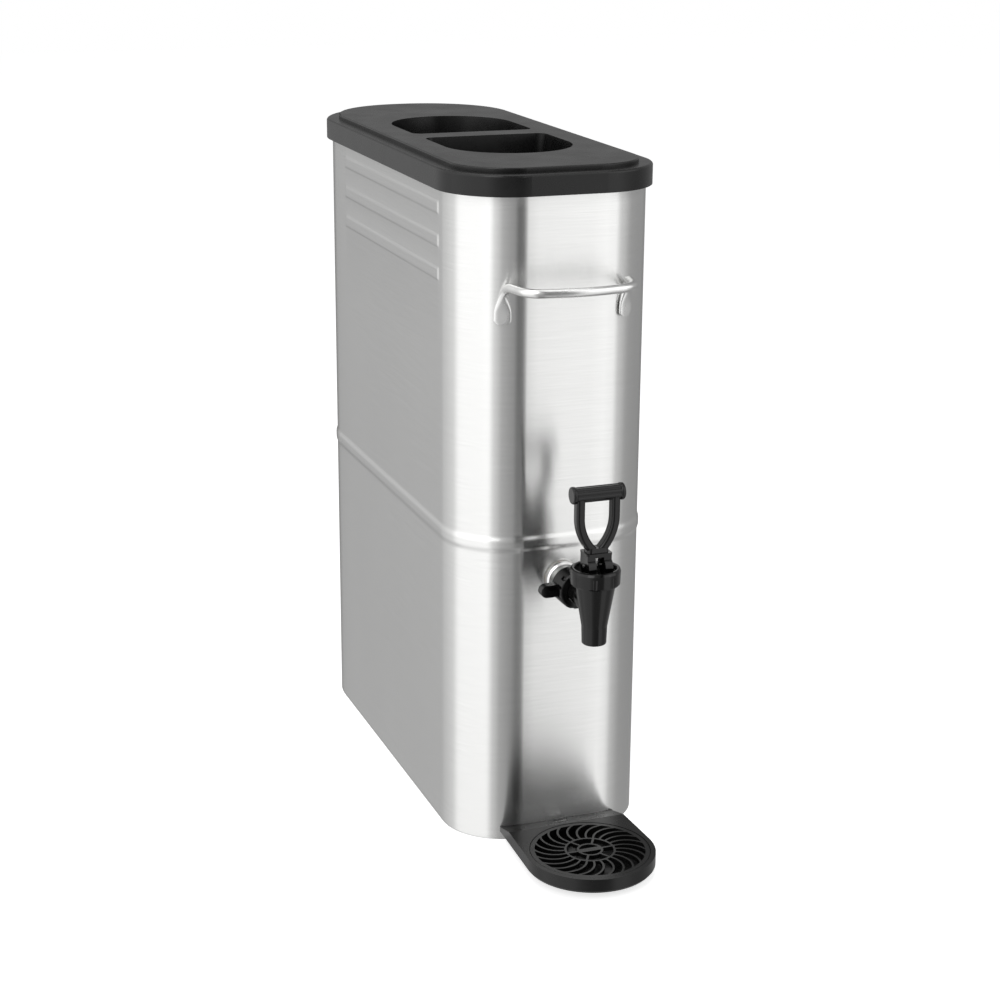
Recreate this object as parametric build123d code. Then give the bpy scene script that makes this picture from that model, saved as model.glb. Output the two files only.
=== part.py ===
from build123d import *
import os
from math import cos, pi, radians, sin

# Body, in millimetres. +Z is up and the front, with the tap, faces -Y.
body_width = 150.0
body_depth = 382.0
front_corner_r = 47.0
back_corner_r = 72.0
sheet = 1.0
rim_z = 492.0
rim_roll = 2.1
rim_roll_height = 4.0
foot_flange = 12.0
waist_z = 231.0
waist_height = 10.0
waist_relief = 1.0
rib_tops_z = (470.0, 446.5, 423.0)
rib_height = 8.2
rib_relief = 0.7
rib_front = 54.0
rib_length = 230.0

# Lid
lid_overhang = 4.5
lid_wall = 2.0
lid_bottom_z = 480.0
lid_ledge_z = 495.2
lid_top_z = 498.5
lid_ledge = 10.0
well_half_width = 48.0
well_front = 120.0
well_back = 97.0
well_bridge = 22.0
well_depth = 28.0
well_wall = 2.2

# Tank floor
floor_front_z = 183.0
floor_back_z = 191.0
floor_skirt_z = 170.0

# Front handle
rod_r = 3.2
tab_angle = 22.0
tab_width = 12.5
tab_thick = 3.0
tab_bottom_z = 392.0
handle_z = 419.0
handle_reach = 31.0
handle_bow = 6.0
handle_half_span = 39.0
handle_bend_r = 16.0

# Tap, measured outwards from the front wall and along the tap's upright axis
tap_z = 202.5
tap_out = 62.0
shank_r = 8.0
shank_bore_r = 5.5
boss_flange_r = 13.0
boss_spigot_r = 10.0
boss_spigot_out = 22.0
gasket = 1.5
tail_r = 7.8
tail_out = 22.8
ring_out = 24.0
ring_thick = 2.2
ring_r = 9.8
nut_out = 15.0
nut_length = 16.0
nut_r = 13.6
nut_ear_reach = 25.5
nut_notches = 12
spout_foot_z = 175.0
spout_r = 8.7
barrel_top_z = 222.8
barrel_r = 14.3
barrel_bore_r = 11.0
seat_z = 196.0
seat_bore_r = 6.0
bonnet_r = 17.8
bonnet_foot_z = 219.0
bonnet_top_z = 231.0
bonnet_roof_z = 226.5
bonnet_cup_r = 14.6
stem_r = 2.9
stem_top_z = 239.0
spring_r = 5.6
spring_wire_r = 0.6
spring_turns = 4
pin_z = 232.6
pin_r = 1.2
cam_r = 5.8
cam_offset = 4.5
slot_width = 6.8
slot_top_z = 240.0
yoke_width = 18.0
yoke_depth = 13.0
yoke_top_z = 241.5
grip_z = 284.5
grip_r = 5.6
grip_length = 38.5
grip_ribs = 8
leg_half_span = 13.0
leg_bend_z = 268.0
leg_bend_r = 34.0
leg_bend_angle = 47.0

# Drip tray
tray_out = 63.0
tray_r = 47.4
tray_back_half = 44.5
tray_bottom_z = 5.0
tray_top_z = 16.0
tray_wall_z = 11.0
tray_slope_out = 18.0
well_r = 43.7
tray_floor = 2.0
grille_r = 43.2
grille_thick = 3.0
grille_ribs = 24
grille_rib_width = 1.5
grille_ring_r = 18.6
grille_hub_r = 9.5

# The origin stands under the middle of the whole thing, so the body sits behind it.
front_reach = body_depth / 2 + tray_out + tray_r
back_reach = body_depth / 2 + lid_overhang
body_y = (front_reach - back_reach) / 2
front_y = body_y - body_depth / 2
back_y = body_y + body_depth / 2
tap_y = front_y - tap_out
tray_y = front_y - tray_out


def body_plan(grow, z=0.0):
    """The body's outline seen from above, grown outwards by a distance."""
    front = front_y - grow
    back = back_y + grow
    with BuildSketch(Plane.XY.offset(z)) as plan:
        with Locations((0, (front + back) / 2)):
            Rectangle(body_width + 2 * grow, back - front)
        fillet(plan.vertices().group_by(Axis.Y)[0], front_corner_r + grow)
        fillet(plan.vertices().group_by(Axis.Y)[-1], back_corner_r + grow)
    return plan.sketch


def body_block(grow, low, high):
    """An upright block with the body's outline."""
    return extrude(body_plan(grow, low), high - low)


def body_skin(levels):
    """A closed skin through the body's outline at each (height, growth)."""
    return loft([body_plan(grow, z) for z, grow in levels], ruled=True)


def facing_front(out, z=tap_z, x=0.0):
    """A plane parallel to the front wall whose normal points out of it."""
    return Plane(origin=(x, front_y - out, z), x_dir=(1, 0, 0), z_dir=(0, -1, 0))


def outward_rod(radius, start, stop):
    """A cylinder on the tap's level axis, from one distance off the wall to another."""
    return extrude(facing_front(start) * Circle(radius), stop - start)


def upright(radius, low, high, y=tap_y):
    """A cylinder on an upright axis."""
    return extrude(Plane.XY.offset(low) * Pos(0, y) * Circle(radius), high - low)


def turned(points, y=tap_y):
    """A solid of revolution about an upright axis from (radius, height) points."""
    profile = make_face(Polyline(*[(r, 0, z) for r, z in points], close=True))
    return Pos(0, y, 0) * revolve(profile, Axis.Z, 360)


def waist_levels(grow):
    """The swaged bead's three facets, for one side of the sheet."""
    half = waist_height / 2
    return [
        (waist_z - half, grow),
        (waist_z - 0.4 * half, grow + waist_relief),
        (waist_z + 0.4 * half, grow + waist_relief),
        (waist_z + half, grow),
    ]


def rim_levels():
    """The rolled rim's outer side, as facets round half a turn."""
    steps = 5
    low = rim_z - rim_roll_height
    middle = rim_z - rim_roll_height / 2
    levels = [(low - 1, 0)]
    for step in range(steps + 1):
        turn = pi * step / steps - pi / 2
        levels.append((middle + rim_roll_height / 2 * sin(turn), rim_roll * cos(turn)))
    return levels


def side_rib(side, top, inset):
    """One pressed rib on a long side, as a low block with sloping edges."""
    x = side * (body_width / 2 - inset)
    plane = Plane(
        origin=(x, front_y + rib_front + rib_length / 2, top - rib_height / 2),
        x_dir=(0, 1, 0),
        z_dir=(side, 0, 0),
    )
    foot = plane * Rectangle(rib_length, rib_height)
    crest = plane.offset(rib_relief) * Rectangle(rib_length - 2, rib_height - 2)
    return loft([foot, crest], ruled=True)


def make_body_shell():
    """The folded and welded sheet wall, open at the top and the foot."""
    outer = body_skin([(0, -0.8), (0.8, 0)] + waist_levels(0) + rim_levels())
    inner = body_skin([(sheet, -sheet)] + waist_levels(-sheet) + [(rim_z, -sheet)])
    for side in (-1, 1):
        for top in rib_tops_z:
            outer += side_rib(side, top, 0)
            inner += side_rib(side, top, sheet)
    shell = outer - inner - body_block(-foot_flange, -1, 2 * sheet)
    return shell - outward_rod(shank_r + 0.8, -5, 5)


def make_tank_floor():
    """The sloping pan with a turned-down skirt, welded inside the wall."""
    def side_wedge(drop):
        profile = make_face(Polyline(
            (0, front_y - 10, floor_skirt_z - 10),
            (0, back_y + 10, floor_skirt_z - 10),
            (0, back_y + 10, floor_back_z - drop),
            (0, front_y - 10, floor_front_z - drop),
            close=True,
        ))
        return extrude(profile, body_width, both=True)

    pan = body_block(-sheet, floor_skirt_z, floor_back_z + 5) & side_wedge(0)
    return pan - (body_block(-2 * sheet, floor_skirt_z - 5, floor_back_z + 5) & side_wedge(sheet))


def make_front_handle():
    """A bent rod with flattened ends that lie on the rounded front corners."""
    angle = radians(tab_angle)
    centre = (body_width / 2 - front_corner_r, front_y + front_corner_r)
    stand = front_corner_r + tab_thick / 2
    foot_x = centre[0] + stand * sin(angle)
    foot_y = centre[1] - stand * cos(angle)
    bar_y = front_y - handle_reach
    path = FilletPolyline(
        (-foot_x, foot_y - 1, tab_bottom_z + 10),
        (-foot_x, foot_y - 1, handle_z),
        (-handle_half_span, bar_y, handle_z),
        (0, bar_y - handle_bow, handle_z),
        (handle_half_span, bar_y, handle_z),
        (foot_x, foot_y - 1, handle_z),
        (foot_x, foot_y - 1, tab_bottom_z + 10),
        radius=[12, handle_bend_r, 110, handle_bend_r, 12],
    )
    handle = sweep(Plane(path @ 0, z_dir=path % 0) * Circle(rod_r), path=path)
    for side in (-1, 1):
        tab_plane = Plane(
            origin=(side * foot_x, foot_y, tab_bottom_z),
            x_dir=(cos(angle), side * sin(angle), 0),
            z_dir=(0, 0, 1),
        )
        flat = tab_plane * RectangleRounded(tab_width, tab_thick, 1.2)
        flat_top = tab_plane.offset(9) * RectangleRounded(tab_width, tab_thick, 1.2)
        rod_end = Plane.XY.offset(tab_bottom_z + 20) * Pos(side * foot_x, foot_y - 1) * Circle(rod_r)
        handle += extrude(flat, 9)
        handle += loft([flat_top, rod_end])
    return handle - body_block(0, tab_bottom_z - 5, rim_z)


def make_tap_boss():
    """The steel shank that carries the tap through the wall."""
    flange = outward_rod(boss_flange_r, gasket, gasket + 4)
    flange = chamfer(flange.edges().group_by(Axis.Y)[0], 1.2)
    boss = flange + outward_rod(boss_spigot_r, gasket + 4, boss_spigot_out)
    boss += outward_rod(shank_r, -16, gasket + 4)
    return boss - outward_rod(shank_bore_r, -20, 30)


def flat_ring(radius, bore, start, stop):
    """A flat washer on the tap's level axis."""
    return outward_rod(radius, start, stop) - outward_rod(bore, start - 1, stop + 1)


def make_shank_locknut():
    """The hex nut inside the tank."""
    start = -sheet - 2 - 6
    nut = extrude(facing_front(start) * RegularPolygon(13.5, 6, major_radius=False), 6)
    nut = chamfer(nut.edges().group_by(Axis.Y)[-1], 0.8)
    return nut - outward_rod(shank_r, start - 1, 0)


def make_tap_body():
    """The moulded tap: tail pipe, barrel with its seat, and tapered spout."""
    skin = turned([
        (0, spout_foot_z), (spout_r - 0.6, spout_foot_z), (spout_r, spout_foot_z + 0.6), (spout_r + 0.4, 188),
        (barrel_r, bonnet_foot_z - 1), (barrel_r, barrel_top_z), (0, barrel_top_z),
    ])
    tap = skin + outward_rod(tail_r, tail_out, tap_out)
    tap += loft([
        facing_front(tap_out - 24) * Circle(tail_r),
        facing_front(tap_out - 5) * Circle(9.4),
    ], ruled=True)
    tap -= turned([
        (0, spout_foot_z - 1), (spout_r - 2, spout_foot_z - 1), (spout_r - 2, seat_z - 5),
        (seat_bore_r, seat_z - 4), (seat_bore_r, seat_z), (8.6, seat_z + 1.5),
        (barrel_bore_r, seat_z + 15), (barrel_bore_r, barrel_top_z + 1), (0, barrel_top_z + 1),
    ])
    tap -= outward_rod(shank_bore_r, tail_out - 1, tap_out - 5)
    return tap - flat_ring(tail_r + 2, tail_r - 1.2, ring_out, ring_out + ring_thick)


def make_tail_ring():
    """The split ring that the wing nut pulls on."""
    ring = flat_ring(ring_r, tail_r - 1.2, ring_out, ring_out + ring_thick)
    return ring - Pos(0, front_y - ring_out, tap_z + ring_r) * Box(3, 12, 12)


def make_wing_nut():
    """The union nut with its two ears and their web ribs."""
    far = nut_out + nut_length
    nut = outward_rod(nut_r, nut_out, far)
    nut = fillet(nut.edges().group_by(Axis.Y)[0], 2.0)
    ear_plane = facing_front(nut_out + 4)
    ear = ear_plane * SlotOverall(2 * nut_ear_reach, 9)
    nut += extrude(ear, 6.5)
    web = facing_front(nut_out + 4) * Rectangle(2 * nut_ear_reach - 12, 3.2)
    nut += extrude(web, nut_length - 5)
    for step in range(nut_notches):
        turn = 2 * pi * (step + 0.5) / nut_notches
        notch = facing_front(far - 6) * Pos((nut_r + 1) * cos(turn), (nut_r + 1) * sin(turn)) * Circle(1.9)
        nut -= extrude(notch, 7)
    nut -= outward_rod(boss_spigot_r + 0.07, nut_out - 1, ring_out + ring_thick + 0.3)
    return nut - outward_rod(tail_r + 0.3, nut_out, far + 1)


def make_bonnet():
    """The screw cup that closes the barrel, guides the stem and carries the yoke's cams."""
    profile = [
        (barrel_r + 0.1, bonnet_foot_z), (bonnet_r - 1, bonnet_foot_z), (bonnet_r - 0.3, bonnet_foot_z + 1),
        (bonnet_r, bonnet_top_z - 2), (bonnet_r - 0.7, bonnet_top_z - 0.4), (bonnet_r - 1.7, bonnet_top_z),
        (bonnet_cup_r + 0.6, bonnet_top_z), (bonnet_cup_r, bonnet_top_z - 0.6), (bonnet_cup_r, bonnet_roof_z),
        (stem_r + 0.1, bonnet_roof_z), (stem_r + 0.1, barrel_top_z + 2), (barrel_bore_r, barrel_top_z + 2),
        (barrel_bore_r, barrel_top_z + 0.05), (barrel_r + 0.1, barrel_top_z + 0.05),
    ]
    ring = turned(profile)
    for step in range(8):
        turn = 2 * pi * (step + 0.5) / 8
        flute = Pos((bonnet_r + 1.7) * cos(turn), (bonnet_r + 1.7) * sin(turn)) * Circle(2.4)
        ring -= extrude(Plane.XY.offset(bonnet_foot_z - 1) * Pos(0, tap_y) * flute, 9)
    return ring


def make_bonnet_seal():
    """The ring that seats between the barrel's mouth and the bonnet's roof."""
    return turned([(7.5, barrel_top_z), (10.9, barrel_top_z), (10.9, barrel_top_z + 1.8), (7.5, barrel_top_z + 1.8)])


def make_stem():
    """The lift rod, with a flat shoulder for the cup and a rounded eye for the pin."""
    rod = upright(stem_r, seat_z + 1, stem_top_z)
    rod = fillet(rod.edges().group_by(Axis.Z)[-1], 1.2)
    rod += upright(4.5, seat_z + 1, seat_z + 2.5)
    return rod - pin_rod(pin_r, 10)


def make_stem_collar():
    """The collar that carries the spring's lower end."""
    return upright(7.5, seat_z + 8, seat_z + 9.5) - upright(stem_r, seat_z, seat_z + 20)


def make_seat_cup():
    """The soft cup that closes the spout."""
    cup = turned([
        (0, seat_z - 2.5), (3.5, seat_z - 2.5), (5.9, seat_z), (7.6, seat_z + 1.3), (7.9, seat_z + 3.5),
        (6.4, seat_z + 8), (0, seat_z + 8),
    ])
    return cup - upright(stem_r, seat_z + 1, seat_z + 10) - upright(4.5, seat_z + 1, seat_z + 2.5)


def make_tap_spring():
    """The closing spring, wound on the stem between collar and bonnet."""
    low = seat_z + 10.2
    high = barrel_top_z + 1.35
    quarters = 4 * spring_turns

    def on_helix(quarter):
        turn = pi / 2 * quarter
        return (spring_r * cos(turn), spring_r * sin(turn), (high - low) * quarter / quarters)

    arcs = [ThreePointArc(on_helix(q), on_helix(q + 0.5), on_helix(q + 1)) for q in range(quarters)]
    coil = Wire(arcs)
    wire = sweep(Plane(coil @ 0, z_dir=coil % 0) * Circle(spring_wire_r), path=coil)
    return Pos(0, tap_y, low) * wire


def pin_rod(radius, half):
    """A level rod across the yoke, on the handle's pivot."""
    plane = Plane(origin=(-half, tap_y, pin_z), x_dir=(0, 1, 0), z_dir=(1, 0, 0))
    return extrude(plane * Circle(radius), 2 * half)


def across(sketch, width):
    """Extrudes a side-view sketch, drawn as (y, z), evenly to both sides."""
    plane = Plane(origin=(0, tap_y, 0), x_dir=(0, 1, 0), z_dir=(1, 0, 0))
    return extrude(plane * sketch, width / 2, both=True)


def make_tap_handle():
    """The lever: a cam-footed yoke, a collar, two curved legs and a ribbed grip."""
    cam = Pos(-cam_offset, pin_z) * Circle(cam_r) + Pos(0, pin_z) * Circle(cam_r)
    waist = Pos(-cam_offset / 2, pin_z) * Rectangle(cam_offset, 2 * cam_r)
    column_mid = -0.6
    column = Pos(column_mid, (pin_z + yoke_top_z) / 2) * Rectangle(yoke_depth, yoke_top_z - pin_z)
    yoke = across(cam + waist + column, yoke_width)
    slot = Pos(0, slot_top_z - 10) * Rectangle(40, 20)
    yoke -= across(slot, slot_width)
    collar_plane = Plane(origin=(0, tap_y + column_mid, yoke_top_z))
    handle = yoke + extrude(collar_plane * RectangleRounded(yoke_width + 1, yoke_depth + 1, 1.5), 1.4)
    neck = collar_plane.offset(1.4) * RectangleRounded(yoke_width - 1.5, 10, 3)
    top = collar_plane.offset(4.5) * RectangleRounded(yoke_width - 2.5, 8.4, 3)
    handle += loft([neck, top], ruled=True)
    for side in (-1, 1):
        straight_foot = (side * leg_half_span, tap_y + column_mid, leg_bend_z)
        centre_x = side * (leg_half_span - leg_bend_r)
        turn = radians(leg_bend_angle)
        arc_end, arc_middle = [
            (centre_x + side * leg_bend_r * cos(part), tap_y + column_mid, leg_bend_z - leg_bend_r * sin(part))
            for part in (turn, turn / 2)
        ]
        leg = Line((side * leg_half_span, tap_y + column_mid, grip_z - 3), straight_foot)
        bend = ThreePointArc(straight_foot, arc_middle, arc_end)
        section = Plane(leg @ 0, x_dir=(0, 1, 0), z_dir=leg % 0) * RectangleRounded(8.0, 6.2, 2.0)
        handle += sweep(section, path=Wire([leg, bend]))
    grip_plane = Plane(origin=(-grip_length / 2, tap_y + column_mid, grip_z), x_dir=(0, 1, 0), z_dir=(1, 0, 0))
    grip = extrude(grip_plane * Circle(grip_r - 0.6), grip_length)
    for step in range(grip_ribs):
        turn = 2 * pi * (step + 0.5) / grip_ribs
        rib = Pos((grip_r - 1.5) * cos(turn), (grip_r - 1.5) * sin(turn)) * Circle(1.5)
        grip += extrude(grip_plane.offset(3) * rib, grip_length - 6)
    for start in (0, grip_length - 3.2):
        flange = extrude(grip_plane.offset(start) * Circle(grip_r + 0.5), 3.2)
        grip += fillet(flange.edges(), 1.1)
    handle += grip
    return handle - pin_rod(pin_r + 0.06, 12)


def well_plan(back, grow, z):
    """One finger well from above: half a stadium, cut off by the bridge."""
    middle = body_y + (well_back - well_front) / 2
    reach = (well_front + well_back) / 2
    with BuildSketch(Plane.XY.offset(z)) as plan:
        with Locations((0, middle)):
            SlotOverall(2 * (reach + grow), 2 * (well_half_width + grow), rotation=90)
            Rectangle(400, well_bridge - 2 * grow, mode=Mode.SUBTRACT)
            with Locations((0, -200 if back else 200)):
                Rectangle(400, 400, mode=Mode.SUBTRACT)
        corners = plan.vertices().sort_by(Axis.Y)
        fillet(corners[:2] if back else corners[-2:], 7 + grow)
    return plan.sketch


def make_lid():
    """The moulded lid: skirt, ledge, plateau, inner lip and two finger wells."""
    seat_z_lid = rim_z + 0.2
    lid = body_block(lid_overhang, lid_bottom_z, lid_ledge_z)
    lid = fillet(lid.edges().group_by(Axis.Z)[-1], 2.0)
    plateau = body_block(lid_overhang - lid_ledge, lid_ledge_z, lid_top_z)
    lid += fillet(plateau.edges().group_by(Axis.Z)[-1], 1.0)
    lid -= body_block(lid_overhang - lid_wall, lid_bottom_z - 1, lid_bottom_z + 1)
    lid -= body_block(lid_overhang - lid_wall, lid_bottom_z, seat_z_lid)
    lip = body_block(-1.8, lid_bottom_z, seat_z_lid + 1)
    lid += lip - body_block(-3.8, lid_bottom_z - 1, seat_z_lid + 2)
    lid -= body_block(lid_overhang - lid_ledge - 3, seat_z_lid - 1, lid_top_z - 2.5)
    for back in (False, True):
        bottom = lid_top_z - well_depth
        cup = loft([well_plan(back, well_wall - 2, bottom - well_wall), well_plan(back, well_wall, lid_top_z - 1)], ruled=True)
        pocket = loft([well_plan(back, -2, bottom), well_plan(back, 0, lid_top_z + 0.01)], ruled=True)
        lid = lid + cup - pocket
    return lid


def tray_plan(grow, z):
    """The tray from above: a circle carried straight back to the wall."""
    with BuildSketch(Plane.XY.offset(z)) as plan:
        with BuildLine():
            left = (-tray_r - grow, tray_y)
            right = (tray_r + grow, tray_y)
            ThreePointArc(left, (0, tray_y - tray_r - grow), right)
            Polyline(right, (tray_back_half + grow, front_y + 12), (-tray_back_half - grow, front_y + 12), left)
        make_face()
    return plan.sketch


def make_drip_tray():
    """The tray: outer wall, round well, hook slot and a back that follows the body."""
    tray = extrude(tray_plan(0, tray_bottom_z + 2), tray_top_z - tray_bottom_z - 2)
    tray += loft([tray_plan(-1.6, tray_bottom_z), tray_plan(0, tray_bottom_z + 2)], ruled=True)
    tray -= body_block(0.3, tray_bottom_z - 5, tray_top_z + 5)
    slope = make_face(Polyline(
        (0, front_y - tray_slope_out, tray_top_z), (0, front_y, tray_wall_z),
        (0, front_y + 20, tray_wall_z), (0, front_y + 20, tray_top_z + 5),
        (0, front_y - tray_slope_out, tray_top_z + 5), close=True,
    ))
    tray -= extrude(slope, tray_r + 5, both=True)
    tray -= upright(well_r, tray_top_z - 3.4, tray_top_z + 1, tray_y)
    tray -= upright(well_r - 1.6, tray_bottom_z + tray_floor, tray_top_z + 1, tray_y)
    tray -= Pos(0, front_y, tray_bottom_z) * Box(43, 4.4, 8.8)
    tray -= Pos(0, front_y - 3.5, tray_bottom_z) * Box(11.4, 7, 5)
    return tray - Pos(0, front_y - 5.4, tray_top_z) * Box(11.4, 3.2, 30)


def make_tray_bracket():
    """The folded steel hook on the wall that the tray hangs on."""
    plate = Pos(0, front_y - 0.75, tray_bottom_z + 2) * Box(40, 1.5, 4)
    shelf = Pos(0, front_y - 3.2, tray_bottom_z + 0.75) * Box(10, 6.4, 1.5)
    prong = Pos(0, front_y - 5.65, tray_bottom_z + 3.5) * Box(10, 1.5, 7)
    return plate + shelf + prong


def make_tray_grille():
    """The drip grille: rim, swirled ribs, two rings and a slotted hub."""
    low = tray_top_z - 3.2
    top = low + grille_thick
    span = top - low

    def ring(outer, inner, foot=low):
        return upright(outer, foot, top, tray_y) - upright(inner, foot - 1, top + 1, tray_y)

    grille = ring(grille_r, grille_r - 3.2)
    grille += ring(grille_ring_r, grille_ring_r - 1.6)
    grille += ring(grille_hub_r, grille_hub_r - 1.6)
    rib_plane = Plane.XY.offset(low) * Pos(0, tray_y)
    for step in range(grille_ribs):
        start = Vector(grille_ring_r - 0.8, 0)
        middle = Vector(30, 0).rotate(Axis.Z, -4)
        end = Vector(grille_r - 1.6, 0).rotate(Axis.Z, -22)
        line = ThreePointArc(start, middle, end)
        rib = trace(line, grille_rib_width)
        grille += extrude(rib_plane * Rot(0, 0, 360 * step / grille_ribs) * rib, span)
    for step in range(6):
        spoke = Pos((grille_ring_r + grille_hub_r) / 2 - 0.8, 0) * Rectangle(grille_ring_r - grille_hub_r, 1.6)
        grille += extrude(rib_plane * Rot(0, 0, 60 * step) * spoke, span)
    hub = extrude(rib_plane * RectangleRounded(2 * grille_hub_r - 1.6, 5, 1), span)
    return grille + hub


def main():
    sub_parts = {
        "body_shell": make_body_shell(),
        "tank_floor": make_tank_floor(),
        "front_handle": make_front_handle(),
        "tap_boss": make_tap_boss(),
        "wall_gasket": flat_ring(boss_flange_r - 0.4, shank_r, 0, gasket),
        "inner_washer": flat_ring(15.5, shank_r, -sheet - 2, -sheet),
        "shank_locknut": make_shank_locknut(),
        "tail_gasket": flat_ring(tail_r, shank_bore_r, boss_spigot_out, tail_out),
        "tap_body": make_tap_body(),
        "tail_ring": make_tail_ring(),
        "wing_nut": make_wing_nut(),
        "bonnet": make_bonnet(),
        "bonnet_seal": make_bonnet_seal(),
        "stem": make_stem(),
        "stem_collar": make_stem_collar(),
        "seat_cup": make_seat_cup(),
        "tap_spring": make_tap_spring(),
        "tap_handle": make_tap_handle(),
        "handle_pin": pin_rod(pin_r, yoke_width / 2 + 0.4),
        "lid": make_lid(),
        "drip_tray": make_drip_tray(),
        "tray_grille": make_tray_grille(),
        "tray_bracket": make_tray_bracket(),
    }
    os.makedirs("parts", exist_ok=True)
    for name, solid in sub_parts.items():
        export_step(solid, f"parts/{name}.step")


main()
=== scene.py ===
"""Dresses the tea dispenser: brushed steel, moulded black plastic, and a pale studio. Lengths are in metres."""
import math

import bpy
import numpy as np
from bpy.props import FloatProperty, FloatVectorProperty, PointerProperty, StringProperty
from mathutils import Matrix, Vector


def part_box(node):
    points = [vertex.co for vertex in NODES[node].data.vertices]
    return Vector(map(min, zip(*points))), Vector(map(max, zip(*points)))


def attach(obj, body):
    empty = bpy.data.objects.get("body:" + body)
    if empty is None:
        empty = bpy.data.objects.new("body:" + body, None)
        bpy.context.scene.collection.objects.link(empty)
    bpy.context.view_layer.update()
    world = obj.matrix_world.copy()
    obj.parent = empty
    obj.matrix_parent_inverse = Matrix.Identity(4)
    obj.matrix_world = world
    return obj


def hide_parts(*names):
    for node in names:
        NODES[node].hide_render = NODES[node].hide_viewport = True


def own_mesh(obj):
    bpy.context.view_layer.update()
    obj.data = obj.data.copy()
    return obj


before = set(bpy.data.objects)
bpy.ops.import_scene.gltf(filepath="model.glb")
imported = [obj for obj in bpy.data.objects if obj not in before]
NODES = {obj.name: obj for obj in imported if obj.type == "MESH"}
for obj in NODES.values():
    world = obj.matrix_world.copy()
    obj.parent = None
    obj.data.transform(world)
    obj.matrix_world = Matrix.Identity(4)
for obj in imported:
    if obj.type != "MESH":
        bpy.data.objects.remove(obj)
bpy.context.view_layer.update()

bl_info = {
    "name": "Tea Dispenser Dresser",
    "version": (1, 0, 0),
    "blender": (4, 5, 0),
    "location": "3D View > Sidebar > Dispenser",
    "description": "Makes the finishes, the smooth wall and handle, and the studio of a tea dispenser",
    "category": "Object",
}

BODY_LOW, BODY_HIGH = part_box("body_shell")
MM = 0.001

# The wall: over what length its ribs ease into the flat sheet, and the sizes of its rolled rim and turned-in foot.
RIB_EASE = 0.0016
RIB_END_EASE = 0.0024
RIM_HALF = 0.002
RIM_LIP = 0.0003
FOOT_BEND = 0.0008
FOOT_FLANGE = 0.012
# Heights of the wall's plain rows, and how far under the rim the last one is. They keep its quads short.
PLAIN_ROWS = (0.0012, 0.004, 0.06, 0.12, 0.18, 0.30, 0.36)
LAST_ROW = 0.006

# The handle: how far before each bend its curve begins, from tab to tab, and the step along its path.
HANDLE_BENDS = (0.012, 0.011, 0.017, 0.011, 0.012)
HANDLE_STEP = 0.0011
# A tab is flat this far from its end, and eases into the rod. Its end narrows to a share of its width.
TAB_FLAT = 0.007
TAB_EASE = 0.016
TAB_ROUND = 0.0022
TAB_END = 0.62

# Soft boxes: name, place, width, height, watts.
LAMPS = (
    ("key_box", (-1.3, -1.6, 1.9), 1.2, 1.6, 14),
    ("fill_box", (1.6, -1.0, 1.2), 1.4, 1.4, 5),
    ("top_box", (0.0, 0.3, 2.2), 1.6, 1.6, 9),
)
LAMP_TARGET = (0.0, 0.0, 0.25)
FLOOR_REACH = 6.0
# Just under the foot, so that the two flat faces don't share a plane.
FLOOR_Z = -0.0002
# What the camera sees of the paper beyond the lamps' light on it, and how light the room is on the object.
FLOOR_GLOW = 0.72
ROOM_GREY = 0.3

SURROUND_RADIUS = 30.0
# Degrees from straight ahead towards the left, and how light the surround is there.
SURROUND_BANDS = (
    (-180, 0.28), (-140, 0.30), (-115, 0.42), (-80, 0.48), (-58, 0.80), (-45, 1.45), (-22, 1.60), (-18, 1.1),
    (-15, 0.12), (-4, 0.08), (4, 0.45), (22, 0.58), (36, 0.90), (48, 1.65), (105, 1.65), (122, 1.05),
    (150, 0.84), (168, 0.50), (180, 0.28),
)
# A colour ramp holds levels up to 1, so they are halved in it, and the strength, about 2, makes up for that.
BAND_SCALE = 2


def linear_colour(hex_text):
    """An sRGB colour such as "8a8a8a" as linear red, green, blue and alpha."""
    channels = np.array([int(hex_text[i:i + 2], 16) / 255 for i in (0, 2, 4)])
    low = channels / 12.92
    high = ((channels + 0.055) / 1.055) ** 2.4
    return (*np.where(channels <= 0.04045, low, high).tolist(), 1.0)


def add_node(tree, kind, settings=None, inputs=None):
    """Adds one shader node, sets its properties, and fills or links its inputs."""
    node = tree.nodes.new(kind)
    for name, value in (settings or {}).items():
        setattr(node, name, value)
    for name, value in (inputs or {}).items():
        socket = node.inputs[name]
        if isinstance(value, bpy.types.NodeSocket):
            tree.links.new(value, socket)
        else:
            socket.default_value = value
    return node


def new_material(name):
    """An empty node material with its output, and the object's own coordinates."""
    material = bpy.data.materials.new(name)
    material.use_nodes = True
    tree = material.node_tree
    tree.nodes.clear()
    output = add_node(tree, "ShaderNodeOutputMaterial")
    place = add_node(tree, "ShaderNodeTexCoord").outputs["Object"]
    return material, tree, output, place


def grain(tree, place, period_mm, stretch=(1.0, 1.0, 1.0), detail=3.0, roughness=0.5):
    """Noise whose grain is a real size across, drawn out along an axis by its stretch."""
    scale = tuple(1.0 / (period_mm * MM * s) for s in stretch)
    mapping = add_node(tree, "ShaderNodeMapping", None, {"Vector": place, "Scale": scale})
    noise = add_node(tree, "ShaderNodeTexNoise", None, {
        "Vector": mapping.outputs["Vector"], "Scale": 1.0, "Detail": detail, "Roughness": roughness,
    })
    return noise.outputs["Fac"]


def spread(tree, value, low, high):
    """Maps the middle of a noise onto a range."""
    return add_node(tree, "ShaderNodeMapRange", None, {
        "Value": value, "From Min": 0.3, "From Max": 0.7, "To Min": low, "To Max": high,
    }).outputs["Result"]


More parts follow.
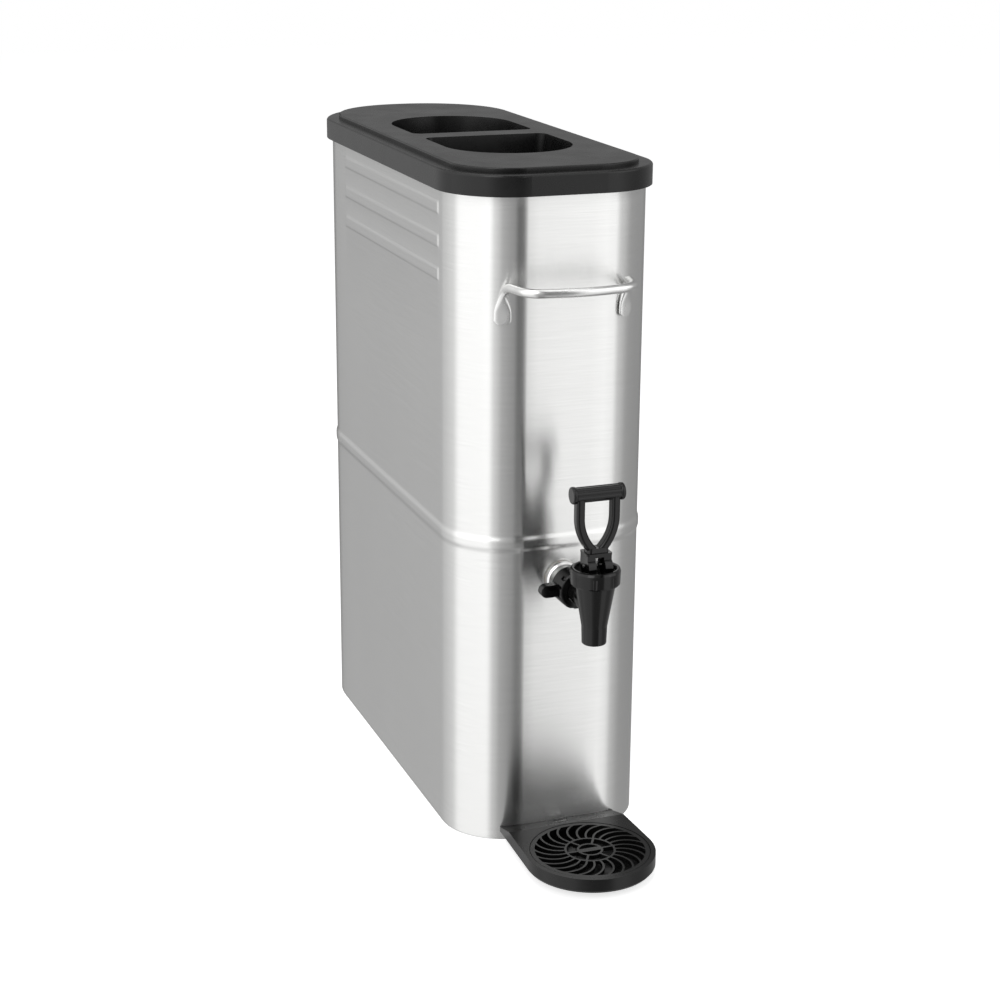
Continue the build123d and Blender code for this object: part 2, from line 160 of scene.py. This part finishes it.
def two_tone(tree, value, dark, light):
    """A colour between two sRGB hex values, by a noise."""
    ramp = add_node(tree, "ShaderNodeValToRGB", None, {"Fac": value})
    ramp.color_ramp.elements[0].position = 0.3
    ramp.color_ramp.elements[0].color = linear_colour(dark)
    ramp.color_ramp.elements[1].position = 0.7
    ramp.color_ramp.elements[1].color = linear_colour(light)
    return ramp.outputs["Color"]


def bump(tree, height, depth_mm, strength=1.0):
    """A bump of a real depth."""
    return add_node(tree, "ShaderNodeBump", None, {
        "Height": height, "Distance": depth_mm * MM, "Strength": strength,
    }).outputs["Normal"]


def brushed_stainless(colours):
    """304 stainless sheet, belt brushed level: soft upright streaks of light and fine level hairlines."""
    material, tree, output, place = new_material("brushed_stainless_sheet")
    # A belt's lines are about 0.05 mm apart, too fine to show, so these are 0.35 mm apart and about 31 mm long.
    hairline = grain(tree, place, 0.35, stretch=(90, 90, 1), detail=3.0, roughness=0.6)
    cloud = grain(tree, place, 55, stretch=(1.0, 1.0, 2.5), detail=2.0)
    tangent = add_node(tree, "ShaderNodeTangent", {"direction_type": "RADIAL", "axis": "Z"})
    shader = add_node(tree, "ShaderNodeBsdfPrincipled", None, {
        "Base Color": two_tone(tree, hairline, colours.steel_dark, colours.steel_light),
        "Metallic": 1.0,
        "Roughness": spread(tree, cloud, 0.24, 0.27),
        "Anisotropic": 0.9,
        "Anisotropic Rotation": 0.25,
        "Tangent": tangent.outputs["Tangent"],
        "Normal": bump(tree, hairline, 0.002, 0.11),
    })
    tree.links.new(shader.outputs[0], output.inputs["Surface"])
    return material


def satin_steel(colours, name, roughness_low, roughness_high):
    """Drawn or turned stainless, tumbled to a satin: even soft glints with faint clouds about 20 mm across."""
    material, tree, output, place = new_material(name)
    cloud = grain(tree, place, 20, detail=2.0)
    shader = add_node(tree, "ShaderNodeBsdfPrincipled", None, {
        "Base Color": two_tone(tree, cloud, colours.steel_dark, colours.steel_light),
        "Metallic": 1.0,
        "Roughness": spread(tree, cloud, roughness_low, roughness_high),
    })
    tree.links.new(shader.outputs[0], output.inputs["Surface"])
    return material


def moulded_plastic(name, dark, light, roughness_low, roughness_high, grain_mm, depth_mm):
    """Injection-moulded polypropylene or ABS: a spark-eroded grain that softens the glints."""
    material, tree, output, place = new_material(name)
    # Real spark grain is about 0.1 mm across. It is drawn coarser so that it shows.
    spark = grain(tree, place, grain_mm, detail=2.0)
    wear = grain(tree, place, 24, detail=4.0, roughness=0.6)
    shader = add_node(tree, "ShaderNodeBsdfPrincipled", None, {
        "Base Color": two_tone(tree, wear, dark, light),
        "Roughness": spread(tree, wear, roughness_low, roughness_high),
        "IOR": 1.49,
        "Specular IOR Level": 0.3,
        "Normal": bump(tree, spark, depth_mm, 0.6),
    })
    tree.links.new(shader.outputs[0], output.inputs["Surface"])
    return material


def silicone(colours):
    """Translucent food-grade silicone, matt from its mould."""
    material, tree, output, place = new_material("moulded_silicone")
    cloud = grain(tree, place, 3.0, detail=3.0)
    shader = add_node(tree, "ShaderNodeBsdfPrincipled", None, {
        "Base Color": two_tone(tree, cloud, colours.silicone_dark, colours.silicone_light),
        "Roughness": spread(tree, cloud, 0.45, 0.6),
        "IOR": 1.41,
        "Subsurface Weight": 0.15,
        "Subsurface Scale": 0.002,
        "Normal": bump(tree, cloud, 0.02, 0.4),
    })
    tree.links.new(shader.outputs[0], output.inputs["Surface"])
    return material


def grid_faces(rows, columns, wrap_rows, wrap_columns):
    """Quads over a grid of vertices numbered row by row, closed where it wraps."""
    row = np.arange(rows if wrap_rows else rows - 1)
    column = np.arange(columns if wrap_columns else columns - 1)
    r, c = np.meshgrid(row, column, indexing="ij")
    r2 = (r + 1) % rows
    c2 = (c + 1) % columns
    corners = (r * columns + c, r * columns + c2, r2 * columns + c2, r2 * columns + c)
    return np.stack(corners, axis=-1).reshape(-1, 4)


def add_piece(name, points, faces, material, body, smooth_angle=40.0):
    """Puts an array of points and a list of faces into a mesh that rides on a body."""
    mesh = bpy.data.meshes.new(name)
    mesh.from_pydata(points.reshape(-1, 3).tolist(), [], faces)
    mesh.polygons.foreach_set("use_smooth", [True] * len(mesh.polygons))
    mesh.set_sharp_from_angle(angle=math.radians(smooth_angle))
    mesh.materials.append(material)
    piece = bpy.data.objects.new(name, mesh)
    bpy.context.scene.collection.objects.link(piece)
    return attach(piece, body)


def corner_arc(centre, radius, start, stop, count):
    """Points and outward normals on an arc: centre plus radius times (cos, sin) of the angle."""
    turn = np.radians(np.linspace(start, stop, count))
    normal = np.stack([np.cos(turn), np.sin(turn)], axis=1)
    return np.array(centre) + radius * normal, normal


def straight(start, stop, shares, normal):
    """Points between two ends at the given shares of the way, all with one normal."""
    ends = np.array(start), np.array(stop)
    points = ends[0] + np.outer(shares, ends[1] - ends[0])
    return points, np.tile(normal, (len(shares), 1))


def body_outline(sizes, shares):
    """The body from above, anticlockwise from the front's left end: four arcs joined by straights.

    The long sides get their points at the given shares, and every point comes with its outward normal.
    """
    roll = sizes.rim_roll
    half = BODY_HIGH.x - roll
    front, back = BODY_LOW.y + roll, BODY_HIGH.y - roll
    near, far = sizes.front_corner, sizes.back_corner
    few = np.linspace(0, 1, 8)[1:-1]
    stretches = [
        straight((-half + near, front), (half - near, front), few, (0, -1)),
        corner_arc((half - near, front + near), near, -90, 0, 28),
        straight((half, front + near), (half, back - far), shares, (1, 0)),
        corner_arc((half - far, back - far), far, 0, 90, 34),
        corner_arc((-half + far, back - far), far, 90, 180, 34),
        straight((-half, back - far), (-half, front + near), 1 - shares[::-1], (-1, 0)),
        corner_arc((-half + near, front + near), near, 180, 270, 28),
    ]
    points, normals = zip(*stretches)
    return np.concatenate(points), np.concatenate(normals)


def bent_path(corners, runs, count):
    """A polyline whose corners B are curves (1-t)^2 A + 2t(1-t) B + t^2 C, with A and C a run away from B."""
    corners = np.asarray(corners)
    t = np.linspace(0, 1, count)[:, None]
    pieces = [corners[:1]]
    for before, corner, after, run in zip(corners, corners[1:], corners[2:], runs):
        start = corner + (before - corner) * run / np.linalg.norm(before - corner)
        stop = corner + (after - corner) * run / np.linalg.norm(after - corner)
        pieces.append((1 - t) ** 2 * start + 2 * t * (1 - t) * corner + t ** 2 * stop)
    pieces.append(corners[-1:])
    return np.concatenate(pieces)


def refine(path, step):
    """Points at even steps along a path."""
    length = np.concatenate([[0], np.cumsum(np.linalg.norm(np.diff(path, axis=0), axis=1))])
    even = np.linspace(0, length[-1], int(length[-1] / step) + 1)
    return np.stack([np.interp(even, length, path[:, axis]) for axis in range(3)], axis=1), even


def soft_step(value):
    """Nought to one with level ends: 3 t squared minus 2 t cubed."""
    t = np.clip(value, 0, 1)
    return t * t * (3 - 2 * t)


def plateau(value, half, edge):
    """One in the middle of a pressed form, easing to nought over its edge."""
    return soft_step((half - np.abs(value)) / edge + 0.5)


def side_rib_heights(sizes):
    """Heights of the side ribs' middles, from the top one down."""
    return sizes.rib_top - sizes.rib_pitch * np.arange(3) - sizes.rib_height / 2


def side_shares(sizes):
    """Where the outline gets points along a side, as shares of it: close together at both ends of the ribs."""
    side = BODY_HIGH.y - BODY_LOW.y - 2 * sizes.rim_roll - sizes.front_corner - sizes.back_corner
    near = (sizes.rib_front - sizes.front_corner) / side
    far = near + sizes.rib_length / side
    ends = np.linspace(-1, 1, 7) * RIB_EASE / side
    between = np.linspace(near + 0.02, far - 0.02, 14)
    return np.unique(np.clip(np.concatenate([near + ends, between, far + ends]), 0.001, 0.999))


def wall_section(sizes):
    """The wall's section as (out, z): foot bend, outer face, half-round rim, inner face and foot flange."""
    rim = BODY_HIGH.z
    # Rows run a little past the edges of the bead and of each rib, where their forms end.
    bead = sizes.waist + np.linspace(-1, 1, 17) * sizes.waist_half * 1.5
    rib_steps = np.linspace(-1, 1, 15) * (sizes.rib_height / 2 + 0.0012)
    ribs = side_rib_heights(sizes)[:, None] + rib_steps
    heights = np.unique(np.concatenate([PLAIN_ROWS, [rim - LAST_ROW], bead, ribs.ravel()]))
    turn = np.linspace(-math.pi / 2, math.pi / 2, 9)[1:-1]
    rolled = np.stack([sizes.rim_roll * np.cos(turn), rim - RIM_HALF + RIM_HALF * np.sin(turn)], axis=1)
    foot_turn = np.linspace(-math.pi / 2, 0, 5)[:-1]
    foot = FOOT_BEND * np.stack([np.cos(foot_turn) - 1, np.sin(foot_turn) + 1], axis=1)
    outer = np.stack([np.zeros(len(heights)), heights], axis=1)
    rim_top = np.array([[RIM_LIP, rim], [-sizes.sheet, rim]])
    inner = outer[::-1] - (sizes.sheet, 0)
    flange = np.array([[-sizes.sheet, sizes.sheet], [-FOOT_FLANGE, sizes.sheet], [-FOOT_FLANGE, 0.0]])
    return np.concatenate([foot, outer, rolled, rim_top, inner, flange])


def wall_points(sizes):
    """The section carried round the outline: plan + normal (out + bead(z) + ribs(y, z)), both forms plateaus."""
    plan, normals = body_outline(sizes, side_shares(sizes))
    out, z = wall_section(sizes).T
    on_wall = ((out == 0) | (out == -sizes.sheet)).astype(float)
    bead = sizes.waist_out * plateau(z - sizes.waist, sizes.waist_half * 0.85, sizes.waist_half * 0.9)
    ribs = sum(plateau(z - middle, sizes.rib_height / 2, RIB_EASE) for middle in side_rib_heights(sizes))
    rib_middle_y = BODY_LOW.y + sizes.rim_roll + sizes.rib_front + sizes.rib_length / 2
    along = plateau(plan[:, 1] - rib_middle_y, sizes.rib_length / 2, RIB_END_EASE)
    on_side = (np.abs(normals[:, 0]) > 0.999) * along
    relief = (out + on_wall * bead)[None, :] + sizes.rib_out * on_side[:, None] * (ribs * on_wall)[None, :]
    level = plan[:, None, :] + normals[:, None, :] * relief[:, :, None]
    return np.concatenate([level, np.broadcast_to(z[None, :, None], (*level.shape[:2], 1))], axis=2)


def handle_path(sizes):
    """The handle's middle line, from tab to tab: up the corner, out to the bar, and along the bar's bow."""
    front = BODY_LOW.y + sizes.rim_roll
    stand = sizes.front_corner + sizes.tab_thick / 2
    foot_x = BODY_HIGH.x - sizes.rim_roll - sizes.front_corner + stand * math.sin(sizes.tab_turn)
    foot_y = front + sizes.front_corner - stand * math.cos(sizes.tab_turn)
    lean = 0.0006
    foot_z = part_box("front_handle")[0].z
    bar_y = front - sizes.handle_reach
    left = [
        (-foot_x, foot_y, foot_z), (-foot_x, foot_y - lean, sizes.handle_height),
        (-sizes.handle_half, bar_y, sizes.handle_height),
    ]
    middle = (0.0, bar_y - sizes.handle_bow, sizes.handle_height)
    right = [(-x, y, z) for x, y, z in reversed(left)]
    return refine(bent_path(left + [middle] + right, HANDLE_BENDS, 14), HANDLE_STEP)


def handle_points(sizes, around):
    """Sections across the path: across w sign(cos a) |cos a|^p + normal t sign(sin a) |sin a|^p.

    On the rod, w and t are its radius and p is 1. Towards the ends they ease to half the tab's width and
    thickness, and p to 0.55, which makes the round section flat.
    """
    path, along = handle_path(sizes)
    tangent = np.gradient(path, axis=0)
    tangent /= np.linalg.norm(tangent, axis=1)[:, None]
    turn = sizes.tab_turn
    outward = np.stack([
        np.sign(path[:, 0]) * math.sin(turn), np.full(len(path), -math.cos(turn)), 0 * along,
    ], axis=1)
    rise = tangent[:, 2:]
    normal = outward * rise - np.array([0, 0, 1]) * np.sqrt(np.clip(1 - rise ** 2, 0, 1))
    normal -= tangent * np.sum(normal * tangent, axis=1)[:, None]
    normal /= np.linalg.norm(normal, axis=1)[:, None]
    across = np.cross(tangent, normal)
    from_end = np.minimum(along, along[-1] - along)
    flat = 1 - soft_step((from_end - TAB_FLAT) / TAB_EASE)
    rounding = TAB_END + (1 - TAB_END) * np.sqrt(np.clip(from_end / TAB_ROUND, 0, 1))
    radius = sizes.rod_radius
    wide = (radius + (sizes.tab_width / 2 - radius) * flat) * rounding
    thick = radius + (sizes.tab_thick / 2 - radius) * flat
    power = 1.0 - 0.45 * flat[:, None]
    cosine, sine = np.cos(around)[None, :], np.sin(around)[None, :]
    u = wide[:, None] * np.sign(cosine) * np.abs(cosine) ** power
    v = thick[:, None] * np.sign(sine) * np.abs(sine) ** power
    return path[:, None, :] + across[:, None, :] * u[..., None] + normal[:, None, :] * v[..., None]


def finish_nodes(finishes):
    """Assigns a material to each named part, and raises if the frame lacks one."""
    for name, material in finishes.items():
        if name not in NODES:
            raise RuntimeError(f"the frame has no part called {name}")
        slots = NODES[name].data.materials
        if len(slots) == 0:
            slots.append(material)
        for index in range(len(slots)):
            slots[index] = material


class DispenserSizes(bpy.types.PropertyGroup):
    """Sizes that the frame doesn't give."""
    front_corner: FloatProperty(
        name="Front corner", description="Radius of the front corners", default=0.047, unit="LENGTH",
    )
    back_corner: FloatProperty(
        name="Back corner", description="Radius of the back corners", default=0.072, unit="LENGTH",
    )
    rim_roll: FloatProperty(
        name="Rim roll", description="How far the rolled rim stands out", default=0.0021, unit="LENGTH",
    )
    sheet: FloatProperty(name="Sheet", description="Thickness of the steel", default=0.001, unit="LENGTH")
    waist: FloatProperty(
        name="Waist bead", description="Height of the bead's middle", default=0.231, unit="LENGTH",
    )
    waist_half: FloatProperty(
        name="Bead half height", description="Half of the bead's height", default=0.005, unit="LENGTH",
    )
    waist_out: FloatProperty(
        name="Bead relief", description="How far the bead stands out", default=0.001, unit="LENGTH",
    )
    rib_top: FloatProperty(
        name="Top rib", description="Height of the top side rib's upper edge", default=0.470, unit="LENGTH",
    )
    rib_pitch: FloatProperty(
        name="Rib spacing", description="From one side rib to the next", default=0.0235, unit="LENGTH",
    )
    rib_height: FloatProperty(
        name="Rib height", description="Height of a side rib", default=0.0082, unit="LENGTH",
    )
    rib_out: FloatProperty(
        name="Rib relief", description="How far a side rib stands out", default=0.0007, unit="LENGTH",
    )
    rib_front: FloatProperty(
        name="Rib start", description="From the front face to the ribs", default=0.054, unit="LENGTH",
    )
    rib_length: FloatProperty(
        name="Rib length", description="Length of a side rib", default=0.230, unit="LENGTH",
    )
    rod_radius: FloatProperty(
        name="Handle rod", description="Radius of the front handle", default=0.0032, unit="LENGTH",
    )
    handle_height: FloatProperty(
        name="Handle height", description="Height of the handle's bar", default=0.419, unit="LENGTH",
    )
    handle_reach: FloatProperty(
        name="Handle reach", description="How far the bar's ends stand out", default=0.031, unit="LENGTH",
    )
    handle_bow: FloatProperty(
        name="Handle bow", description="How much further its middle stands out", default=0.006, unit="LENGTH",
    )
    handle_half: FloatProperty(
        name="Handle half", description="Half of the bar's length", default=0.039, unit="LENGTH",
    )
    tab_turn: FloatProperty(
        name="Tab turn", description="Where the tabs sit round the corner", default=math.radians(22),
        subtype="ANGLE", unit="ROTATION",
    )
    tab_width: FloatProperty(
        name="Tab width", description="Width of the flat tabs", default=0.0125, unit="LENGTH",
    )
    tab_thick: FloatProperty(
        name="Tab thickness", description="Thickness of the flat tabs", default=0.003, unit="LENGTH",
    )
    stem_travel: FloatProperty(
        name="Stem travel", description="How far the stem rises", default=0.0031, unit="LENGTH",
    )


class DispenserColours(bpy.types.PropertyGroup):
    """Colours as sRGB hex."""
    steel_dark: StringProperty(name="Steel, dark", description="Darker steel tone", default="c9c9c8")
    steel_light: StringProperty(name="Steel, light", description="Lighter steel tone", default="d0d0cf")
    lid_dark: StringProperty(name="Lid, dark", description="Darker tone of the lid", default="111111")
    lid_light: StringProperty(name="Lid, light", description="Lighter tone of the lid", default="171717")
    tap_dark: StringProperty(name="Tap, dark", description="Darker tone of the tap", default="080808")
    tap_light: StringProperty(name="Tap, light", description="Lighter tone of the tap", default="0e0e0e")
    silicone_dark: StringProperty(name="Silicone, dark", description="Darker silicone tone", default="b9b6ae")
    silicone_light: StringProperty(
        name="Silicone, light", description="Lighter silicone tone", default="d2cfc8",
    )
    floor: StringProperty(name="Floor", description="Floor and background", default="f6f6f6")


class DispenserCamera(bpy.types.PropertyGroup):
    """The photograph's view."""
    place: FloatVectorProperty(
        name="Place", description="Where the camera stands", default=(-0.5434, -1.47235, 0.7106), size=3,
        subtype="TRANSLATION", unit="LENGTH",
    )
    pitch: FloatProperty(
        name="Pitch", description="Downward tilt", default=0.302731, subtype="ANGLE", unit="ROTATION",
    )
    yaw: FloatProperty(
        name="Yaw", description="Turn from straight ahead", default=0.355670, subtype="ANGLE", unit="ROTATION",
    )
    roll: FloatProperty(
        name="Roll", description="Sideways tilt", default=0.007012, subtype="ANGLE", unit="ROTATION",
    )
    lens: FloatProperty(
        name="Lens", description="Focal length in millimetres on a 36 mm square", default=76.13,
    )


class DISPENSER_OT_steel(bpy.types.Operator):
    """Gives every steel part its brushed, satin or turned finish"""
    bl_idname = "dispenser.steel"
    bl_label = "Finish the steel"

    def execute(self, context):
        colours = context.scene.dispenser_colours
        sheet_steel = brushed_stainless(colours)
        rod_steel = satin_steel(colours, "satin_stainless_rod", 0.22, 0.30)
        turned_steel = satin_steel(colours, "turned_stainless", 0.25, 0.34)
        finishes = {
            "body_shell": sheet_steel, "tank_floor": sheet_steel, "tray_bracket": sheet_steel,
            "front_handle": rod_steel, "handle_pin": rod_steel, "stem": rod_steel,
            "tap_boss": turned_steel, "shank_locknut": turned_steel, "stem_collar": turned_steel,
            "tail_ring": turned_steel, "tap_spring": rod_steel,
        }
        finish_nodes(finishes)
        return {"FINISHED"}


class DISPENSER_OT_plastic(bpy.types.Operator):
    """Gives the lid, tap and tray their moulded black finishes and the seals their silicone"""
    bl_idname = "dispenser.plastic"
    bl_label = "Finish the plastic"

    def execute(self, context):
        colours = context.scene.dispenser_colours
        lid_tones = colours.lid_dark, colours.lid_light
        tap_tones = colours.tap_dark, colours.tap_light
        lid_plastic = moulded_plastic("satin_black_polypropylene", *lid_tones, 0.24, 0.31, 0.8, 0.015)
        tap_plastic = moulded_plastic("gloss_black_abs", *tap_tones, 0.13, 0.19, 0.6, 0.003)
        tray_plastic = moulded_plastic("satin_black_abs", *tap_tones, 0.24, 0.32, 0.7, 0.008)
        soft = silicone(colours)
        seals = "wall_gasket", "inner_washer", "tail_gasket", "bonnet_seal", "seat_cup"
        finishes = {"lid": lid_plastic, "drip_tray": tray_plastic, "tray_grille": tray_plastic}
        finishes.update({n: tap_plastic for n in ("tap_body", "wing_nut", "bonnet", "tap_handle")})
        finishes.update({n: soft for n in seals})
        finish_nodes(finishes)
        return {"FINISHED"}


class DISPENSER_OT_wall(bpy.types.Operator):
    """Carries the wall's section round the body: bead, ribs, rolled rim and foot flange"""
    bl_idname = "dispenser.wall"
    bl_label = "Make the body wall"

    def execute(self, context):
        points = wall_points(context.scene.dispenser_sizes)
        faces = grid_faces(*points.shape[:2], True, True).tolist()
        wall = add_piece("body_wall", points, faces, NODES["body_shell"].data.materials[0], "root", 35)
        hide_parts("body_shell")
        return {"FINISHED"}


class DISPENSER_OT_rod(bpy.types.Operator):
    """Bends the front handle's rod and hammers its ends into flat tabs"""
    bl_idname = "dispenser.rod"
    bl_label = "Bend the front handle"

    def execute(self, context):
        around = np.linspace(0, 2 * math.pi, 41)[:-1]
        points = handle_points(context.scene.dispenser_sizes, around)
        rows, count = points.shape[:2]
        ends = [list(range(count))[::-1], list(range((rows - 1) * count, rows * count))]
        faces = grid_faces(rows, count, False, True).tolist() + ends
        rod = add_piece("handle_rod", points, faces, NODES["front_handle"].data.materials[0], "root", 50)
        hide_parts("front_handle")
        return {"FINISHED"}


class DISPENSER_OT_spring(bpy.types.Operator):
    """Copies the tap's spring into an object with its own mesh, which rides on the root in place of the frame's
    spring
    """
    bl_idname = "dispenser.spring"
    bl_label = "Make the spring"

    def execute(self, context):
        coil = bpy.data.objects.new("closing_spring", NODES["tap_spring"].data.copy())
        context.scene.collection.objects.link(coil)
        coil.matrix_world = NODES["tap_spring"].matrix_world
        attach(coil, "root")
        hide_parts("tap_spring")
        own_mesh(coil)
        return {"FINISHED"}


def soft_box(name, place, width, height, watts):
    """A rectangular area lamp that looks at the object's middle."""
    data = bpy.data.lights.new(name, "AREA")
    data.shape = "RECTANGLE"
    data.size = width
    data.size_y = height
    data.energy = watts
    lamp = bpy.data.objects.new(name, data)
    bpy.context.scene.collection.objects.link(lamp)
    aim = Vector(LAMP_TARGET) - Vector(place)
    lamp.matrix_world = Matrix.Translation(place) @ aim.to_track_quat("-Z", "Y").to_matrix().to_4x4()


def floor_paper(hex_colour):
    """White paper: the shadows on it show, and the camera sees it near white."""
    material, tree, output, _ = new_material("white_paper_sweep")
    lit = add_node(tree, "ShaderNodeBsdfDiffuse", None, {"Color": linear_colour(hex_colour)})
    glow = add_node(tree, "ShaderNodeEmission", None, {"Color": (1, 1, 1, 1), "Strength": FLOOR_GLOW})
    path = add_node(tree, "ShaderNodeLightPath")
    only_seen = add_node(tree, "ShaderNodeMixShader", None, {0: path.outputs["Is Camera Ray"]})
    nothing = add_node(tree, "ShaderNodeEmission", None, {"Strength": 0.0})
    tree.links.new(nothing.outputs[0], only_seen.inputs[1])
    tree.links.new(glow.outputs[0], only_seen.inputs[2])
    both = add_node(tree, "ShaderNodeAddShader")
    tree.links.new(lit.outputs[0], both.inputs[0])
    tree.links.new(only_seen.outputs[0], both.inputs[1])
    tree.links.new(both.outputs[0], output.inputs["Surface"])
    return material


def paper_floor(hex_colour):
    """The floor card. Mirror rays pass it, to see the lower half of the surround in its place."""
    corners = [(x * FLOOR_REACH, y * FLOOR_REACH, FLOOR_Z) for x, y in ((-1, -1), (1, -1), (1, 1), (-1, 1))]
    mesh = bpy.data.meshes.new("floor")
    mesh.from_pydata(corners, [], [(0, 1, 2, 3)])
    mesh.materials.append(floor_paper(hex_colour))
    floor = bpy.data.objects.new("floor", mesh)
    bpy.context.scene.collection.objects.link(floor)
    floor.visible_glossy = False
    floor.visible_shadow = False


def studio_world():
    """White for camera rays, and an even grey for what lights the object."""
    world = bpy.data.worlds.new("studio")
    bpy.context.scene.world = world
    world.use_nodes = True
    tree = world.node_tree
    tree.nodes.clear()
    output = add_node(tree, "ShaderNodeOutputWorld")
    path = add_node(tree, "ShaderNodeLightPath")
    mix = add_node(tree, "ShaderNodeMixShader", None, {0: path.outputs["Is Camera Ray"]})
    dim = add_node(tree, "ShaderNodeBackground", None, {"Color": (1, 1, 1, 1), "Strength": ROOM_GREY})
    white = add_node(tree, "ShaderNodeBackground", None, {"Color": (1, 1, 1, 1), "Strength": 1.0})
    tree.links.new(dim.outputs[0], mix.inputs[1])
    tree.links.new(white.outputs[0], mix.inputs[2])
    tree.links.new(mix.outputs[0], output.inputs["Surface"])


def surround_paint():
    """Light by the bearing, atan2(-x, -y), and the depth, -z / radius, of a place on the sphere.

    The bands stand for the bright and dark cards round the object. Lower down a haze lifts the dark bands, and
    all of them get dimmer.
    """
    material, tree, output, place = new_material("surround_paint")
    inward = add_node(tree, "ShaderNodeVectorMath", {"operation": "SCALE"}, {
        "Vector": place, "Scale": -1 / SURROUND_RADIUS,
    })
    axes = add_node(tree, "ShaderNodeSeparateXYZ", None, {"Vector": inward.outputs["Vector"]})
    bearing = add_node(tree, "ShaderNodeMath", {"operation": "ARCTAN2"}, {
        0: axes.outputs["X"], 1: axes.outputs["Y"],
    })
    share = add_node(tree, "ShaderNodeMapRange", None, {
        "Value": bearing.outputs[0], "From Min": -math.pi, "From Max": math.pi,
    })
    bands = add_node(tree, "ShaderNodeValToRGB", None, {"Fac": share.outputs["Result"]})
    bands.color_ramp.interpolation = "EASE"
    elements = bands.color_ramp.elements
    elements[1].position = 1.0
    for degrees, level in SURROUND_BANDS[1:-1]:
        elements.new((degrees + 180) / 360)
    for element, (degrees, level) in zip(elements, SURROUND_BANDS):
        element.color = (*[level / BAND_SCALE] * 3, 1)
    haze = add_node(tree, "ShaderNodeMapRange", None, {
        "Value": axes.outputs["Z"], "From Min": 0.1, "From Max": 0.5, "To Min": 0.0, "To Max": 0.3,
    })
    level = add_node(tree, "ShaderNodeMath", {"operation": "MAXIMUM"}, {
        0: bands.outputs["Color"], 1: haze.outputs["Result"],
    })
    strength = add_node(tree, "ShaderNodeMapRange", None, {
        "Value": axes.outputs["Z"], "From Min": -0.3, "From Max": 0.8, "To Min": 2.5, "To Max": 1.33,
    })
    glow = add_node(tree, "ShaderNodeEmission", None, {
        "Color": level.outputs[0], "Strength": strength.outputs["Result"],
    })
    tree.links.new(glow.outputs[0], output.inputs["Surface"])
    return material


def reflection_surround():
    """A far sphere that only mirror rays see: radius times (cos t sin p, sin t sin p, cos p)."""
    polar = np.linspace(0.002, math.pi - 0.002, 49)
    turn = np.linspace(0, 2 * math.pi, 97)[:-1]
    sine = np.sin(polar)[:, None]
    height = np.broadcast_to(np.cos(polar)[:, None], (len(polar), len(turn)))
    points = SURROUND_RADIUS * np.stack([sine * np.cos(turn), sine * np.sin(turn), height], axis=-1)
    faces = grid_faces(len(polar), len(turn), False, True)
    mesh = bpy.data.meshes.new("reflection_surround")
    mesh.from_pydata(points.reshape(-1, 3).tolist(), [], faces.tolist())
    mesh.materials.append(surround_paint())
    sphere = bpy.data.objects.new("reflection_surround", mesh)
    bpy.context.scene.collection.objects.link(sphere)
    sphere.visible_camera = False
    sphere.visible_diffuse = False
    sphere.visible_shadow = False
    sphere.visible_transmission = False
    sphere.visible_volume_scatter = False


class DISPENSER_OT_stage(bpy.types.Operator):
    """Sets the floor, the soft boxes, the surround and the camera"""
    bl_idname = "dispenser.stage"
    bl_label = "Set the stage"

    def execute(self, context):
        paper_floor(context.scene.dispenser_colours.floor)
        studio_world()
        reflection_surround()
        for lamp in LAMPS:
            soft_box(*lamp)
        view = context.scene.dispenser_camera
        data = bpy.data.cameras.new("photo_camera")
        data.lens = view.lens
        data.sensor_width = 36.0
        data.clip_start = 0.01
        camera = bpy.data.objects.new("photo_camera", data)
        context.scene.collection.objects.link(camera)
        level = Matrix.Rotation(-view.yaw, 3, "Z") @ Matrix.Rotation(math.pi / 2 - view.pitch, 3, "X")
        turned = level @ Matrix.Rotation(view.roll, 3, "Z")
        camera.matrix_world = Matrix.Translation(view.place) @ turned.to_4x4()
        context.scene.camera = camera
        context.scene.view_settings.view_transform = "Standard"
        return {"FINISHED"}


class DISPENSER_PT_panel(bpy.types.Panel):
    """Lists the dispenser's sizes, colours, view and steps"""
    bl_idname = "DISPENSER_PT_panel"
    bl_label = "Tea dispenser"
    bl_space_type = "VIEW_3D"
    bl_region_type = "UI"
    bl_category = "Dispenser"

    def draw(self, context):
        for group_name in GROUPS:
            group = getattr(context.scene, group_name)
            for name in group.bl_rna.properties.keys():
                if name not in ("rna_type", "name"):
                    self.layout.prop(group, name)
        for step in STEPS:
            self.layout.operator(step.bl_idname)


STEPS = (
    DISPENSER_OT_steel, DISPENSER_OT_plastic, DISPENSER_OT_wall, DISPENSER_OT_rod, DISPENSER_OT_spring,
    DISPENSER_OT_stage,
)
GROUPS = {
    "dispenser_sizes": DispenserSizes,
    "dispenser_colours": DispenserColours,
    "dispenser_camera": DispenserCamera,
}


def register():
    for group in GROUPS.values():
        bpy.utils.register_class(group)
    for name, group in GROUPS.items():
        setattr(bpy.types.Scene, name, PointerProperty(type=group))
    for part in (*STEPS, DISPENSER_PT_panel):
        bpy.utils.register_class(part)


def unregister():
    for part in (DISPENSER_PT_panel, *reversed(STEPS)):
        bpy.utils.unregister_class(part)
    for name, group in GROUPS.items():
        delattr(bpy.types.Scene, name)
        bpy.utils.unregister_class(group)


def main():
    register()
    for step in STEPS:
        area, _, name = step.bl_idname.partition(".")
        getattr(getattr(bpy.ops, area), name)()


if __name__ == "__main__":
    main()
